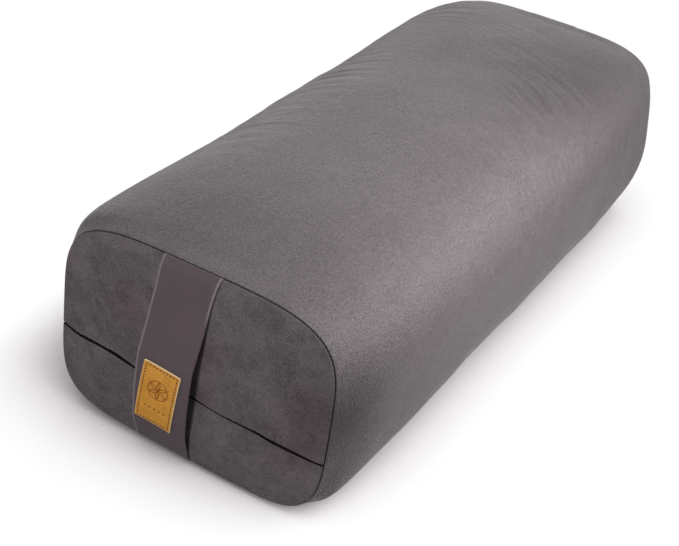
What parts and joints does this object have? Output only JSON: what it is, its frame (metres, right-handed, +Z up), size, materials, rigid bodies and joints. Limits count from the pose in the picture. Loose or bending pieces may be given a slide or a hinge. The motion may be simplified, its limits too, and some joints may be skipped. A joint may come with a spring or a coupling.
{
  "type": "rectangular yoga bolster",
  "caption": "Firm rectangular yoga bolster: zipped microsuede cover with end carry handles over a cotton liner packed with batting.",
  "frame": {"origin": "on the floor under the middle of the bolster", "axes": "+Z up, Y along the length with the labelled end towards -Y, X across the width"},
  "size_m": [0.28, 0.6968, 0.188],
  "materials": {
    "cover_suede": "warm charcoal microsuede with a fine speckled nap",
    "handle_cloth": "smooth folded strap, slightly purple brown",
    "label_leather": "mustard tan leather with pale cut edges",
    "liner_cotton": "unbleached cotton",
    "cotton_batting": "carded cotton batting",
    "zip_tape_cloth": "black woven tape",
    "zip_teeth_nylon": "black nylon",
    "zip_metal": "black-painted zinc"
  },
  "bodies": {
    "bolster": {"cover_wrap": "cover_suede", "front_panel_upper": "cover_suede", "front_panel_lower": "cover_suede", "rear_panel": "cover_suede", "front_handle": "handle_cloth", "rear_handle": "handle_cloth", "label_patch": "label_leather", "liner_sleeve": "liner_cotton", "liner_front_end": "liner_cotton", "liner_rear_end": "liner_cotton", "batting_layer_1": "cotton_batting", "batting_layer_2": "cotton_batting", "batting_layer_3": "cotton_batting", "batting_layer_4": "cotton_batting", "batting_layer_5": "cotton_batting", "batting_layer_6": "cotton_batting", "zip_tape_upper": "zip_tape_cloth", "zip_tape_lower": "zip_tape_cloth", "zip_teeth_upper": "zip_teeth_nylon", "zip_teeth_lower": "zip_teeth_nylon", "zip_end_stop_left": "zip_metal", "zip_end_stop_right": "zip_metal"},
    "slider_left": {"zip_slider_left": "zip_metal"},
    "slider_right": {"zip_slider_right": "zip_metal"},
    "pull_left": {"zip_pull_left": "zip_metal"},
    "pull_right": {"zip_pull_right": "zip_metal"}
  },
  "joints": [
    {"name": "left_slide", "type": "slide", "parent": "bolster", "child": "slider_left", "axis": [-0.998, 0, 0.0628], "range_m": [0, 0.0658], "deforming": ["zip_teeth_upper", "zip_teeth_lower"]},
    {"name": "right_slide", "type": "slide", "parent": "bolster", "child": "slider_right", "axis": [0.998, 0, -0.0628], "range_m": [0, 0.0968], "deforming": ["zip_teeth_upper", "zip_teeth_lower"]},
    {"name": "left_pull_hinge", "type": "hinge", "parent": "slider_left", "child": "pull_left", "pos_m": [-0.02555, -0.33194, 0.07211], "axis": [0.0628, 0, 0.998], "range_deg": [0, 160]},
    {"name": "right_pull_hinge", "type": "hinge", "parent": "slider_right", "child": "pull_right", "pos_m": [-0.00539, -0.33194, 0.07084], "axis": [-0.0628, 0, -0.998], "range_deg": [0, 160]}
  ]
}
